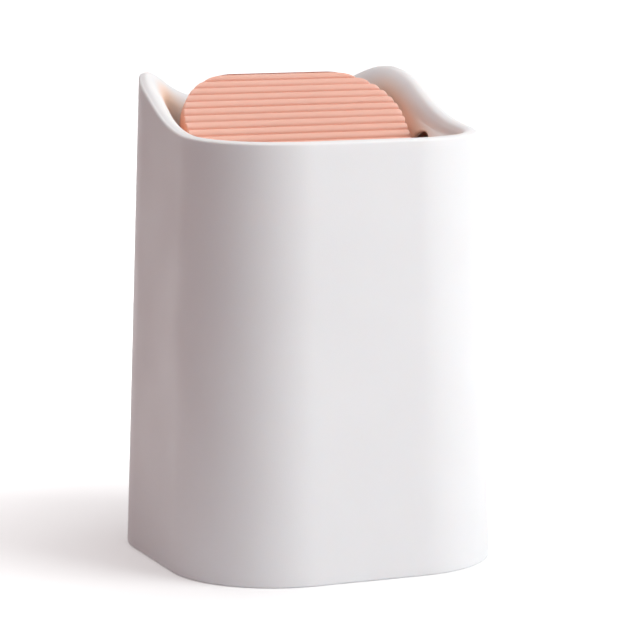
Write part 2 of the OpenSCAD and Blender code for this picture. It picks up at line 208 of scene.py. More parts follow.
# Base tray: one white moulding that closes the cover from below. Its low wall locates the bucket,
# and four upright tongues with a rounded rib spring against the inside of the cover.
BASE_W, TOP_W, BASE_CORNER, WALL, EAR_H = 140.0, 127.6, 45.6, 2.2, 201.8
TAPER = (BASE_W - TOP_W) / 2 / EAR_H
TRAY_LOW, TRAY_TOP, TRAY_GAP = 1.2, 4.4, 0.6
SEAT_HALF, SEAT_CORNER, SEAT_H, SEAT_T = 50.9, 32.9, 7.6, 1.8
TONGUE_W, TONGUE_H, TONGUE_T, NUB_T, NUB_H, TONGUE_GAP = 16.0, 11.6, 1.9, 0.7, 3.0, 0.3
# Depth that the wall and tongues run down into the plate, and the number of points round an outline
SUNK, OUTLINE_STEPS = 0.8, 240


def half_at(z):
    """Half width of the cover's outer face at height z: it narrows evenly from the table up."""
    return BASE_W / 2 - TAPER * z


def corner_at(z):
    """Corner radius of the cover's outer face at height z, in step with its half width."""
    return BASE_CORNER * half_at(z) / (BASE_W / 2)


def reach(half, corner, u):
    """Distance from the middle to a rounded square along plan angle u. With c = |cos u|, s = |sin u|,
    m = half - corner and b = m (c + s): the flat side gives half / max(c, s), the corner gives
    b + sqrt(b^2 - 2 m^2 + corner^2)."""
    c, s, m = np.abs(np.cos(u)), np.abs(np.sin(u)), half - corner
    flat, b = half / np.maximum(c, s), m * (c + s)
    return np.where(flat * np.minimum(c, s) <= m, flat,
                    b + np.sqrt(np.maximum(b * b - 2 * m * m + corner * corner, 0)))


def plan_point(d, u, z):
    """Point at distance d along plan angle u, counted from the front: (d sin u, -d cos u, z)."""
    return np.stack(np.broadcast_arrays(d * np.sin(u), -d * np.cos(u), z), axis=-1)


def plan_angles(half, corner, steps):
    """Plan angles of points spread evenly along the outline of a rounded square, symmetric in both axes."""
    fine = np.linspace(0, 2 * np.pi, 7200, endpoint=False)
    outline = plan_point(reach(half, corner, fine), fine, 0)
    run = np.concatenate([[0], np.cumsum(np.linalg.norm(np.roll(outline, -1, axis=0) - outline, axis=1))])
    return np.interp(np.arange(steps) / steps * run[-1], run, np.append(fine, 2 * np.pi))


def square_sweep(profile, half, corner, steps, loop=False):
    """A profile carried round a rounded square: point (d, z) lies on the outline offset outwards by d. A
    profile that isn't a loop starts and ends on the axis, and its rows far inside shrink the whole outline
    instead of offsetting it."""
    profile = np.array(profile, float)
    u = plan_angles(half, corner, steps)
    rows = profile if loop else profile[1:-1]
    d, z = rows[:, 0][:, None], rows[:, 1][:, None]
    keep = np.maximum(d, -0.75 * corner)
    shrink = (half + d) / (half + keep)
    grid = plan_point(reach(half + keep, corner + keep, u) * shrink, u, z)
    if loop:
        return skin(grid, loop=True)
    return skin(grid, first=(0, 0, profile[0, 1]), last=(0, 0, profile[-1, 1]))


def rounded_section(d0, d1, z0, z1, r, steps=3):
    """Closed section from d0 to d1 and z0 to z1 with corners of radius r, starting low on the outside."""
    a = np.linspace(0, np.pi / 2, steps + 1)
    corners = [(d1 - r, z0 + r, -np.pi / 2), (d1 - r, z1 - r, 0),
               (d0 + r, z1 - r, np.pi / 2), (d0 + r, z0 + r, np.pi)]
    return np.concatenate([np.stack([x + r * np.cos(a + t), z + r * np.sin(a + t)], axis=-1)
                           for x, z, t in corners])


def bar(section, ends, axes, centre=(0, 0, 0), tip=0.3):
    """A closed section run from one end to the other: the first and last stretches, tip long, draw in, and a
    fan closes each end. The section's two coordinates and the run go along the three given axes."""
    section = np.array(section, float)
    middle = section.mean(axis=0)
    runs = [(ends[0], -tip), (ends[0] + 0.3 * tip, -0.3 * tip), (ends[0] + tip, 0),
            (ends[1] - tip, 0), (ends[1] - 0.3 * tip, -0.3 * tip), (ends[1], -tip)]
    outward = (section - middle) / np.linalg.norm(section - middle, axis=1)[:, None]
    grid = np.empty((len(runs), len(section), 3))
    for row, (run, draw) in enumerate(runs):
        grid[row, :, :2] = section + outward * draw
        grid[row, :, 2] = run
    fans = [np.array([*middle, run]) for run in ends]
    turn = np.array(axes, float)
    points, faces = skin(grid, first=fans[0], last=fans[1])
    return points @ turn + np.array(centre, float), faces


satin_white = moulded("satin_white_plastic", (0.86, 0.858, 0.858), (0.84, 0.836, 0.836), 0.46, 2200, 0.00002)
tray_half, tray_corner = (f(TRAY_TOP) - WALL - TRAY_GAP for f in (half_at, corner_at))
tray_profile = [(-tray_half, TRAY_LOW), (-tray_half * 0.6, TRAY_LOW), (-10, TRAY_LOW), (-0.5, TRAY_LOW),
                (-0.15, TRAY_LOW + 0.15), (0, TRAY_LOW + 0.5), (0, TRAY_TOP - 0.5), (-0.15, TRAY_TOP - 0.15),
                (-0.5, TRAY_TOP), (-10, TRAY_TOP), (-18, TRAY_TOP), (-tray_half * 0.6, TRAY_TOP),
                (-tray_half, TRAY_TOP)]
seat_section = rounded_section(0, SEAT_T, TRAY_TOP - SUNK, TRAY_TOP + SEAT_H, 0.6)
tray_parts = [square_sweep(tray_profile, tray_half, tray_corner, OUTLINE_STEPS),
              square_sweep(seat_section, SEAT_HALF, SEAT_CORNER, OUTLINE_STEPS, loop=True)]
tongue_face = half_at(TRAY_TOP + TONGUE_H) - WALL - TONGUE_GAP
leaf = rounded_section(tongue_face - NUB_T - TONGUE_T, tongue_face - NUB_T, -TONGUE_W / 2, TONGUE_W / 2, 0.5)
rib = rounded_section(tongue_face - NUB_T - 0.6, tongue_face, TRAY_TOP + TONGUE_H - NUB_H - 1,
                      TRAY_TOP + TONGUE_H - 1, 0.6, 5)
for quarter in range(4):
    c, s = round(math.cos(quarter * math.pi / 2)), round(math.sin(quarter * math.pi / 2))
    tray_parts.append(bar(leaf, (TRAY_TOP - SUNK, TRAY_TOP + TONGUE_H), [(c, s, 0), (-s, c, 0), (0, 0, 1)]))
    tray_parts.append(bar(rib[::-1], (-TONGUE_W / 2, TONGUE_W / 2), [(c, s, 0), (0, 0, 1), (-s, c, 0)]))
make_piece("base_tray_moulding", tray_parts, "base", ["base_tray"], satin_white)

# Inner bucket: a thin off-white tapered vessel with rounded corners and a small outward lip to lift it by.
# It stands on the tray inside the low wall and comes out once the cover is off.
LOW_HALF, LOW_CORNER, HIGH_HALF, HIGH_CORNER = 50.0, 32.0, 59.0, 38.0
BUCKET_H, BUCKET_T, BUCKET_FLOOR, LIP, LIP_T = 150.0, 1.6, 2.0, 2.0, 2.4


def bucket_row(d, z, u):
    """Point of the bucket at height z, offset outwards by d: half width and corner radius grow evenly with
    the height."""
    share = (z - TRAY_TOP) / (BUCKET_H - TRAY_TOP)
    half = LOW_HALF + (HIGH_HALF - LOW_HALF) * share
    corner = LOW_CORNER + (HIGH_CORNER - LOW_CORNER) * share
    keep = np.maximum(d, -0.75 * corner)
    return plan_point(reach(half + keep, corner + keep, u) * (half + d) / (half + keep), u, z)


off_white = moulded("off_white_plastic", (0.78, 0.775, 0.765), (0.75, 0.745, 0.735), 0.52, 2000, 0.00003)
u = plan_angles(LOW_HALF, LOW_CORNER, OUTLINE_STEPS)
low, inside = TRAY_TOP, TRAY_TOP + BUCKET_FLOOR
walls = np.linspace(0, 1, 24)
bucket_profile = np.array(
    [(-30, low + 0.5), (-12, low + 0.5), (-8, low), (-2.2, low), (-1.1, low + 0.3), (-0.3, low + 1.1),
     (0, low + 2.2)]
    + [(0, low + 2.2 + (BUCKET_H - LIP_T - 0.5 - low - 2.2) * t) for t in walls[1:]]
    + [(0.2, BUCKET_H - LIP_T - 0.1), (0.6, BUCKET_H - LIP_T), (LIP - 0.5, BUCKET_H - LIP_T),
       (LIP - 0.1, BUCKET_H - LIP_T + 0.15), (LIP, BUCKET_H - LIP_T + 0.6), (LIP, BUCKET_H - 0.8),
       (LIP - 0.2, BUCKET_H - 0.25), (LIP - 0.8, BUCKET_H), (-BUCKET_T + 0.6, BUCKET_H),
       (-BUCKET_T + 0.15, BUCKET_H - 0.15), (-BUCKET_T, BUCKET_H - 0.6)]
    + [(-BUCKET_T, BUCKET_H - 0.6 + (inside + 2.4 - BUCKET_H + 0.6) * t) for t in walls[1:]]
    + [(-BUCKET_T - 0.4, inside + 1.1), (-BUCKET_T - 1.1, inside + 0.35), (-BUCKET_T - 2.4, inside),
       (-14, inside), (-30, inside)])
make_piece("inner_bucket_moulding",
           [skin(bucket_row(bucket_profile[:, 0][:, None], bucket_profile[:, 1][:, None], u),
                 first=(0, 0, low + 0.5), last=(0, 0, inside))],
           "bucket", ["inner_bucket"], off_white)

# Outer cover: one satin white moulding, open at the bottom. The tapered wall rises into two ear peaks at the
# back corners, rolls over at the rim and runs down as a funnel to the square throat that the flap swings in.
FOOT_ROUND, FRONT_H, BACK_H, EAR_DIR, SIDE_SPREAD, BACK_SPREAD = 1.0, 179.6, 188.6, 126.0, 30.6, 20.2
FOOT_BREAK = 0.3
RIM_ROUND, ROLL_W, ROLL_DROP, EAR_ROLL_W, EAR_ROLL_DROP = 1.0, 7.9, 4.8, 3.5, 6.6
THROAT_HALF, SIDE_FLAT, THROAT_TOP, THROAT_LOW, FUNNEL_T = 52.0, 21.4, 170.5, 166.0, 1.8
ARCH_W, ARCH_RISE = 16.0, 6.5
THROAT_CORNER = THROAT_HALF - SIDE_FLAT
# Points of the rolled rim, measured in from its outer rounding and down from its crest, the powers of the rise
# to an ear and of the fall behind it, and the share of the funnel's end that is missing under an arch's crown
CREST_IN, EDGE_DROP, SHOULDER_IN, SHOULDER_DROP, BEND_IN, BEND_SHARE = 2.0, 0.4, 4.0, 0.6, 1.4, 0.42
UNDER_IN, UNDER_DROP, WALL_DROP, RISE_POWER, FALL_POWER, ARCH_EDGE = 3.2, 2.9, 6.0, 1.7, 2.3, 0.8


def rim_height(u):
    """Height of the rim at plan angle u, with a its distance from the front in degrees: front height plus the
    rise times exp(-(|ear - a| / spread)^power) before the ear, back height plus the rest times the same with
    the back's spread and power behind it."""
    a = np.degrees(np.where(u > np.pi, 2 * np.pi - u, u))
    side = FRONT_H + (EAR_H - FRONT_H) * np.exp(-(np.abs(EAR_DIR - a) / SIDE_SPREAD) ** RISE_POWER)
    back = BACK_H + (EAR_H - BACK_H) * np.exp(-(np.abs(a - EAR_DIR) / BACK_SPREAD) ** FALL_POWER)
    return np.where(a < EAR_DIR, side, back)


def cover_point(inset, u, z):
    """Point of the cover at plan angle u and height z, set in by inset from its tapered outer face."""
    return plan_point(reach(half_at(z) - inset, corner_at(z) - inset, u), u, z)


def funnel_point(v, out, u, rim, share):
    """Point of the funnel: v runs from the rolled rim (0) to the throat (1), the plan distance goes from the
    rim's inner edge to the throat by 1 - (1 - v)^2 and the height falls evenly; out offsets it outwards."""
    top, inset = rim - ROLL_DROP - EAR_ROLL_DROP * share, ROLL_W + EAR_ROLL_W * share
    start = reach(half_at(top) - inset, corner_at(top) - inset, u)
    end = reach(THROAT_HALF, THROAT_CORNER, u)
    return plan_point(start + (end - start) * (1 - (1 - v) ** 2) + out, u, top + (THROAT_TOP - top) * v)


def arch_share(u):
    """Share of an arch's rise at plan angle u: with e the angle to the nearer side over the arch's half span,
    half an ellipse sqrt(1 - e^2), and nothing past its foot."""
    off = np.abs(np.pi / 2 - np.where(u > np.pi, 2 * np.pi - u, u)) / math.atan(ARCH_W / 2 / THROAT_HALF)
    return np.sqrt(np.maximum(1 - off ** 2, 0))


def smooth_rows(control, steps):
    """Cubic curves through rows of control points (rows x columns x 3). A row's tangent is the mean of the
    slopes of its two chords, each weighted by the other's length; steps rows are given for each chord."""
    chord = control[1:] - control[:-1]
    length = np.linalg.norm(chord, axis=2).mean(axis=1)[:, None, None]
    slope = chord / length
    inner = (slope[1:] * length[:-1] + slope[:-1] * length[1:]) / (length[1:] + length[:-1])
    tangent = np.concatenate([slope[:1], inner, slope[-1:]])
    t = (np.arange(steps) / steps)[None, :, None, None]
    p0, p1 = control[:-1, None], control[1:, None]
    m0, m1 = (tangent[:-1] * length)[:, None], (tangent[1:] * length)[:, None]
    rows = ((2 * t ** 3 - 3 * t ** 2 + 1) * p0 + (t ** 3 - 2 * t ** 2 + t) * m0
            + (3 * t ** 2 - 2 * t ** 3) * p1 + (t ** 3 - t ** 2) * m1)
    return np.concatenate([rows.reshape(-1, *control.shape[1:]), control[-1:]])


u = plan_angles(BASE_W / 2, BASE_CORNER, 400)
rim = rim_height(u)
share = (rim - FRONT_H) / (EAR_H - FRONT_H)
edge = rim - EDGE_DROP
quarter = np.radians(np.arange(0, 91, 15))
arch = arch_share(u)
funnel_end = 1 - arch * ARCH_RISE / (rim - ROLL_DROP - EAR_ROLL_DROP * share - THROAT_TOP)
lip = (THROAT_TOP - THROAT_LOW) * (1 - ARCH_EDGE * arch)
foot_rows = [cover_point(FOOT_ROUND * (1 - math.sin(a)), u, FOOT_ROUND * (1 - math.cos(a))) for a in quarter]
wall_rows = [cover_point(0, u, FOOT_ROUND + (edge - RIM_ROUND - FOOT_ROUND) * t)
             for t in np.linspace(0, 1, 40)[1:-1]]
edge_rows = [cover_point(RIM_ROUND * (1 - math.cos(a)), u, edge - RIM_ROUND * (1 - math.sin(a)))
             for a in quarter]
bend = BEND_SHARE * ROLL_DROP + 0.5 * EAR_ROLL_DROP * share
crest_rows = smooth_rows(np.stack(
    [edge_rows[-1], cover_point(RIM_ROUND + CREST_IN, u, rim),
     cover_point(RIM_ROUND + SHOULDER_IN, u, edge - SHOULDER_DROP * share),
     cover_point(ROLL_W - BEND_IN + SHOULDER_DROP * EAR_ROLL_W * share, u, rim - bend)]
    + [funnel_point(v * funnel_end, 0, u, rim, share) for v in (0, 0.2, 0.45, 0.72, 1)]), 6)
crest_rows[..., 2] = np.minimum(crest_rows[..., 2], rim)
lip_section = ((0, lip / 2), (0, 0.4), (0.12, 0.12), (0.4, 0), (FUNNEL_T - 0.4, 0), (FUNNEL_T - 0.12, 0.12),
               (FUNNEL_T, 0.4))
lip_rows = [funnel_point(funnel_end, d, u, rim, share) + np.stack([0 * u, 0 * u, z - lip], axis=-1)
            for d, z in lip_section]
under_rows = smooth_rows(np.stack(
    [funnel_point(v * funnel_end, FUNNEL_T, u, rim, share) for v in (1, 0.5, 0)]
    + [cover_point(RIM_ROUND + UNDER_IN, u, rim - UNDER_DROP - share),
       cover_point(WALL, u, rim - WALL_DROP)]), 6)
inner_rows = [cover_point(WALL, u, FOOT_BREAK + (rim - WALL_DROP - FOOT_BREAK) * t)
              for t in np.linspace(1, 0, 24)[1:]]
closing_row = [cover_point(WALL - FOOT_BREAK, u, 0)]
cover_rows = np.concatenate([np.stack(foot_rows + wall_rows + edge_rows[:-1]), crest_rows, np.stack(lip_rows),
                             under_rows, np.stack(inner_rows + closing_row)])
# The cover's base colour carries painted bounce light: the flap's peach reflection is painted in inside the
# mouth
cover_white = moulded("satin_white_cover", (0.86, 0.858, 0.858), (0.84, 0.836, 0.836), 0.46, 2200, 0.00002,
                      soft=0.3, painted_bounce=(1.0, 0.62, 0.42))
cover = make_piece("outer_cover_moulding", [skin(cover_rows, loop=True)], "cover", ["outer_cover"],
                   cover_white)

# Pivot frame: an off-white ring clipped round the funnel's lower end. A ledge stops it under the funnel,
# and two bored bosses at the sides carry the flap's steel pins.
FRAME_LOW, FRAME_TOP, FRAME_T, LEDGE_T, SLEEVE_H, FIT = 156.5, 165.7, 2.0, 2.0, 3.8, 0.3
PIVOT_Z, PIN_R, PIN_CLEAR, BOSS_R, BOSS_SHARE = 162.0, 1.75, 0.05, 3.6, 0.46
BOSS_LEN = (half_at(PIVOT_Z) - WALL - THROAT_HALF) * BOSS_SHARE


def side_tube(r_out, r_in, x0, x1, centre, steps=48):
    """A tube along X from x0 to x1 with its ends rounded by 0.3 mm: the section of its wall carried round."""
    wall = rounded_section(r_in, r_out, x0, x1, 0.3, 2)
    a = np.linspace(0, 2 * np.pi, steps, endpoint=False)
    r, x = wall[:, 0][:, None], wall[:, 1][:, None]
    return skin(np.stack([x + 0 * a, r * np.sin(a), -r * np.cos(a)], axis=-1)[:, ::-1] @ np.array(
        [(1, 0, 0), (0, 1, 0), (0, 0, 1)], float) + np.array(centre, float), loop=True)


sleeve_in, sleeve_out = FUNNEL_T + FIT, FUNNEL_T + FIT + FRAME_T
frame_profile = [(FRAME_T - 0.4, FRAME_LOW), (FRAME_T, FRAME_LOW + 0.4), (FRAME_T, FRAME_TOP - LEDGE_T - 0.8),
                 (FRAME_T + 0.25, FRAME_TOP - LEDGE_T - 0.2), (FRAME_T + 0.8, FRAME_TOP - LEDGE_T),
                 (sleeve_out - 0.4, FRAME_TOP - LEDGE_T), (sleeve_out, FRAME_TOP - LEDGE_T + 0.4),
                 (sleeve_out, FRAME_TOP + SLEEVE_H - 0.4), (sleeve_out - 0.4, FRAME_TOP + SLEEVE_H),
                 (sleeve_in + 0.4, FRAME_TOP + SLEEVE_H), (sleeve_in, FRAME_TOP + SLEEVE_H - 0.4),
                 (sleeve_in, FRAME_TOP), (0.3, FRAME_TOP), (0, FRAME_TOP - 0.3), (0, FRAME_LOW + 0.3),
                 (0.3, FRAME_LOW)]
frame_parts = [square_sweep(frame_profile, THROAT_HALF, THROAT_CORNER, OUTLINE_STEPS, loop=True)]
for x0 in (THROAT_HALF + 0.4, -THROAT_HALF - BOSS_LEN):
    x1 = THROAT_HALF + BOSS_LEN if x0 > 0 else -THROAT_HALF
    frame_parts.append(side_tube(BOSS_R, PIN_R + PIN_CLEAR, x0, x1, (0, 0, PIVOT_Z)))
make_piece("pivot_frame_moulding", frame_parts, "cover", ["pivot_frame"], off_white)

# Flap panel: the peach square cover plate of the flap, a shallow box with a gentle crown and straight
# rounded ribs from side to side. Its ribs run out at the edge, where they end in soft tips.
FLAP_TILT, FLAP_HALF, CROWN_R, CREST_H, UNDER_DEPTH = 50.5, 49.75, 250.0, 6.0, 3.6
RIB_COUNT, RIB_PITCH, RIB_R, GROOVE, PLATE_T, SKIRT_T = 26, 3.85, 2.1, 1.1, 1.8, 1.8


def on_flap(part):
    """Turns a part from the flap's own frame (origin on the pivot, +Y to the back edge, +Z out of the ribs)
    by the tilt about X and sets it at the pivot's height."""
    points, faces = part
    c, s = math.cos(math.radians(FLAP_TILT)), math.sin(math.radians(FLAP_TILT))
    return points @ np.array([(1, 0, 0), (0, c, s), (0, -s, c)]) + (0, 0, PIVOT_Z), faces


def rib_height(y):
    """Height of the ribbed side at distance y from the pivot: the crown's circle of radius R about
    z = crest - R, with the arc s = R asin(y / R) folded to the nearest rib at distance e; the rib's circle of
    radius r stands R - r + sqrt(r^2 - e^2) from the crown's centre, or the groove's floor where that is
    higher."""
    arc = CROWN_R * np.arcsin(y / CROWN_R)
    place = np.clip(np.round(arc / RIB_PITCH - 0.5), -RIB_COUNT / 2, RIB_COUNT / 2 - 1) + 0.5
    e = np.abs(arc - place * RIB_PITCH)
    rib = CROWN_R - RIB_R + np.sqrt(np.maximum(RIB_R ** 2 - e ** 2, 0))
    distance = np.maximum(np.where(e < RIB_R, rib, 0), CROWN_R - GROOVE)
    return CREST_H - CROWN_R + np.sqrt(distance ** 2 - y ** 2)


def cavity_height(y):
    """Height of the flap's inside under the plate: a circle about the crown's centre."""
    return CREST_H - CROWN_R + np.sqrt((CROWN_R - GROOVE - PLATE_T) ** 2 - y ** 2)


def flap_outline(y_share, inset):
    """Half width across and distance along of the flap's outline set in by inset: on the side's straight run
    the width is constant, and past it the corner's circle, given by its angle, brings it in."""
    half, corner = FLAP_HALF - inset, FLAP_HALF - inset - SIDE_FLAT
    run = np.abs(y_share)
    angle = np.clip(run - 1, 0, 1) * np.pi / 2
    y = np.where(run <= 1, run * SIDE_FLAT, SIDE_FLAT + corner * np.sin(angle))
    return SIDE_FLAT + corner * np.cos(angle), np.sign(y_share) * y


# Rows lie every quarter millimetre across the ribs, and closer by the corner's angle near the two ends
fine_y = np.arange(0, FLAP_HALF, 0.25)
run = np.where(fine_y <= SIDE_FLAT, fine_y / SIDE_FLAT,
               1 + np.arcsin(np.clip((fine_y - SIDE_FLAT) / (FLAP_HALF - SIDE_FLAT), 0, 1)) / (np.pi / 2))
run = np.unique(np.round(np.concatenate([run, np.linspace(1.8, 2, 14)]), 5))
run = np.concatenate([-run[:0:-1], run])
across = np.linspace(-1, 1, 33)
rows_n, cols_n = len(run), len(across)


def flap_sheet(height, inset):
    """Rows across the flap from side to side at the given height, inside the outline set in by inset."""
    width, y = flap_outline(run, inset)
    y = y[:, None] + 0 * across
    return np.stack([width[:, None] * across, y, height(y)], axis=-1)


def flap_ring(height, inset):
    """The rim of such a sheet, anticlockwise seen from its ribbed side."""
    sheet = flap_sheet(height, inset)
    return np.concatenate([sheet[0, :-1], sheet[:-1, -1], sheet[-1, :0:-1], sheet[:0:-1, 0]])


def flap_shell():
    """Ribbed sheet, rounded edge, skirt, foot of the skirt, inner wall and inner sheet, joined ring by
    ring."""
    edge_r, quarter = 0.55, np.radians([0, 22.5, 45, 67.5, 90])
    rings = [flap_ring(lambda y, a=a: rib_height(y) - edge_r * (1 - math.cos(a)),
                       edge_r * (1 - math.sin(a)))
             for a in quarter]
    foot = -UNDER_DEPTH
    inner = SKIRT_T
    for z, inset in ((0.5, 0), (foot + 0.3, 0), (foot + 0.09, 0.09), (foot, 0.3), (foot, inner - 0.3),
                     (foot + 0.09, inner - 0.09), (foot + 0.3, inner), (0, inner)):
        rings.append(flap_ring(lambda y, z=z: z + 0 * y, inset))
    rings.append(flap_ring(cavity_height, inner))
    top, bottom = flap_sheet(rib_height, edge_r), flap_sheet(cavity_height, inner)
    count, ring_n = rows_n * cols_n, len(rings[0])
    index = np.arange(count).reshape(rows_n, cols_n)
    border = np.concatenate([index[0, :-1], index[:-1, -1], index[-1, :0:-1], index[:0:-1, 0]])
    sheet = np.stack([index[:-1, :-1], index[:-1, 1:], index[1:, 1:], index[1:, :-1]], axis=-1).reshape(-1, 4)
    middle = count + np.arange((len(rings) - 2) * ring_n).reshape(-1, ring_n)
    bands = np.concatenate([[border], middle, [border + count + middle.size]])
    wall = np.stack([bands[:-1], bands[1:], np.roll(bands[1:], -1, axis=1), np.roll(bands[:-1], -1, axis=1)],
                    axis=-1)
    points = np.concatenate([top.reshape(-1, 3), *rings[1:-1], bottom.reshape(-1, 3)])
    back = sheet[:, ::-1] + count + middle.size
    return points, np.concatenate([sheet, wall.reshape(-1, 4), back]).tolist()


peach = moulded("peach_plastic", (0.82, 0.457, 0.352), (0.8, 0.432, 0.333), 0.5, 2200, 0.00002, 0.3, soft=0.4)
make_piece("flap_panel_moulding", [on_flap(flap_shell())], "flap", ["flap_panel"], peach)


def flap_distance(points):
    """Distance of points in millimetres from the flap, taken as a box in the flap's own frame: the root of
    the sum of squares of how far each coordinate lies outside it."""
    c, s = math.cos(math.radians(FLAP_TILT)), math.sin(math.radians(FLAP_TILT))
    y, z = points[:, 1] * c + (points[:, 2] - PIVOT_Z) * s, (points[:, 2] - PIVOT_Z) * c - points[:, 1] * s
    outside = np.stack([np.abs(points[:, 0]) - FLAP_HALF, np.abs(y) - FLAP_HALF, z - CREST_H,
                        -UNDER_DEPTH - z])
    return np.sqrt((np.maximum(outside, 0) ** 2).sum(axis=0))


# Painted bounce light: the flap's peach reflection is painted into the base colour of the white walls inside
# the mouth.
# It starts a few millimetres below the rim, fades out with the distance from the flap and is stronger on the
# left, across from the main light
PAINTED_BOUNCE_DROP, PAINTED_BOUNCE_RISE, PAINTED_BOUNCE_FADE, PAINTED_BOUNCE_FULL, PAINTED_BOUNCE_LEAN = 2.5, 8.0, 20.0, 1.3, 125.0
inside_rows = (np.arange(len(cover_rows)) >= len(foot_rows + wall_rows))[:, None]
deep = np.clip((rim - cover_rows[..., 2] - PAINTED_BOUNCE_DROP) / PAINTED_BOUNCE_RISE, 0, 1) * inside_rows
side = PAINTED_BOUNCE_FULL - cover_rows[..., 0].ravel() / PAINTED_BOUNCE_LEAN
near = np.clip(side * np.exp(-flap_distance(cover_rows.reshape(-1, 3)) / PAINTED_BOUNCE_FADE), 0, 1)
painted_bounce = cover.data.attributes.new("painted_bounce", "FLOAT", "POINT")
painted_bounce.data.foreach_set("value", (deep.ravel() * near).astype(np.float32))

# Flap underside: the flat peach plate that closes the flap from below and holds the pins' seats.
# Its moulded form is right as it is, so it only takes the flap's finish.
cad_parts["flap_underside"].data.materials.clear()
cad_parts["flap_underside"].data.materials.append(peach)

# Balance weight: a flat zinc-plated steel strip between two ribs of the underside plate, which keeps the flap
# from flipping over by itself. It is punched, with edges rounded by tumbling.
WEIGHT_L, WEIGHT_W, WEIGHT_T, UNDER_TOP = 60.0, 8.0, 2.5, -2.1


def plated(name, colour, roughness, lines):
    """Plated steel: fine lines along the piece in the bump and the gloss, and soft patches in the colour."""
    finish, nodes, links, shader, place = node_tree(name)
    shader.inputs["Metallic"].default_value = 1
    tone = nodes.new("ShaderNodeMix")
    tone.data_type = "RGBA"
    tone.inputs["A"].default_value = (*colour, 1)
    tone.inputs["B"].default_value = (*(c * 0.86 for c in colour), 1)
    links.new(soft_noise(nodes, links, place, 260, 4, 0, 1), tone.inputs["Factor"])
    links.new(tone.outputs["Result"], shader.inputs["Base Color"])
    gloss = soft_noise(nodes, links, place, lines, 4, roughness - 0.07, roughness + 0.1)
    links.new(gloss, shader.inputs["Roughness"])
    bump = nodes.new("ShaderNodeBump")
    bump.inputs["Strength"].default_value = 0.4
    bump.inputs["Distance"].default_value = 0.00003
    links.new(soft_noise(nodes, links, place, lines, 5, 0, 1), bump.inputs["Height"])
    links.new(bump.outputs["Normal"], shader.inputs["Normal"])
    return finish


zinc = plated("zinc_plated_steel", (0.62, 0.62, 0.63), 0.34, 1600)
strip = rounded_section(-WEIGHT_W / 2, WEIGHT_W / 2, UNDER_TOP, UNDER_TOP + WEIGHT_T, 0.35)
strip_bar = bar(strip, (-WEIGHT_L / 2, WEIGHT_L / 2), [(0, 1, 0), (0, 0, 1), (1, 0, 0)])
make_piece("balance_strip", [on_flap(strip_bar)], "flap", ["balance_weight"], zinc)

# Flap screws: four small plated screws whose flat heads sit flush in the underside plate.
# Each head has a pressed cross recess, and the shank has the turns of its thread.
SCREW_X, SCREW_Y, SCREW_R, HEAD_R, HEAD_T, SCREW_L = 28.0, 26.0, 1.25, 2.4, 0.8, 4.5
RECESS, THREAD_DEPTH, THREAD_PITCH = 0.5, 0.12, 0.9


def screw(centre):
    """The head's sole is a disc of circles whose depth is RECESS inside a cross of narrow arms; the shank's
    radius is the core plus a wave of the height, turned by the angle, which makes the thread."""
    u = np.linspace(0, 2 * np.pi, 72, endpoint=False)
    r = np.array([0.15, 0.3, 0.45, 0.6, 0.75, 0.9, 1.05, 1.2, 1.32, 1.45, 1.6, 1.9, 2.15, HEAD_R - 0.08,
                  HEAD_R])[:, None]
    x, y = r * np.sin(u), -r * np.cos(u)
    arm = np.minimum(np.abs(x), np.abs(y))
    deep = np.clip((0.36 - arm) / 0.12, 0, 1) * np.clip((1.45 - r) / 0.13, 0, 1)
    sole = np.stack([x, y, RECESS * deep + 0.02 * (r > HEAD_R - 0.1) + 0.1 * (r >= HEAD_R)], axis=-1)
    side = np.stack([HEAD_R * np.sin(u), -HEAD_R * np.cos(u), HEAD_T - 0.05 + 0 * u], axis=-1)[None]
    z = np.linspace(HEAD_T, SCREW_L - 0.35, 40)[:, None]
    thread = SCREW_R - THREAD_DEPTH + THREAD_DEPTH * np.cos(2 * np.pi * z / THREAD_PITCH - u)
    shank = np.stack([thread * np.sin(u), -thread * np.cos(u), z + 0 * u], axis=-1)
    tip = np.stack([0.6 * np.sin(u), -0.6 * np.cos(u), SCREW_L - 0.02 + 0 * u], axis=-1)[None]
    return skin(np.concatenate([sole, side, shank, tip]) + np.array(centre),
                first=np.array(centre) + (0, 0, RECESS), last=np.array(centre) + (0, 0, SCREW_L))


make_piece("flap_screw_set", [on_flap(screw((x, y, -UNDER_DEPTH))) for x in (-SCREW_X, SCREW_X)
                              for y in (-SCREW_Y, SCREW_Y)], "flap", ["flap_screws"], zinc)

# Pivot pins: two turned steel pins, pushed into the flap from the sides and running in the frame's bosses.
# The flat head stays outside the boss, and the tip is chamfered.
SEAT_IN, PIN_END_GAP, PIN_HEAD_R, PIN_HEAD_T = 40.5, 0.2, 3.0, 1.4
HEAD_FACE = THROAT_HALF + BOSS_LEN + PIN_END_GAP
turned_steel = plated("turned_steel", (0.6, 0.6, 0.61), 0.26, 2400)
pin = [(0, SEAT_IN), (1.2, SEAT_IN), (PIN_R - 0.1, SEAT_IN + 0.35), (PIN_R, SEAT_IN + 0.6),
       (PIN_R, HEAD_FACE - 6), (PIN_R, HEAD_FACE - 0.15), (PIN_R + 0.15, HEAD_FACE),
       (PIN_HEAD_R - 0.2, HEAD_FACE),
       (PIN_HEAD_R, HEAD_FACE + 0.2), (PIN_HEAD_R, HEAD_FACE + PIN_HEAD_T - 0.35),
       (PIN_HEAD_R - 0.12, HEAD_FACE + PIN_HEAD_T - 0.1), (PIN_HEAD_R - 0.4, HEAD_FACE + PIN_HEAD_T),
       (1, HEAD_FACE + PIN_HEAD_T), (0, HEAD_FACE + PIN_HEAD_T)]
pin_points, pin_faces = turned_piece(pin, 48)
for name, turn in (("right", [(0, 0, -1), (0, 1, 0), (1, 0, 0)]),
                   ("left", [(0, 0, 1), (0, 1, 0), (-1, 0, 0)])):
    make_piece(name + "_steel_pin", [(pin_points @ np.array(turn, float) + (0, 0, PIVOT_Z), pin_faces)],
               "flap", [name + "_pivot_pin"], turned_steel)

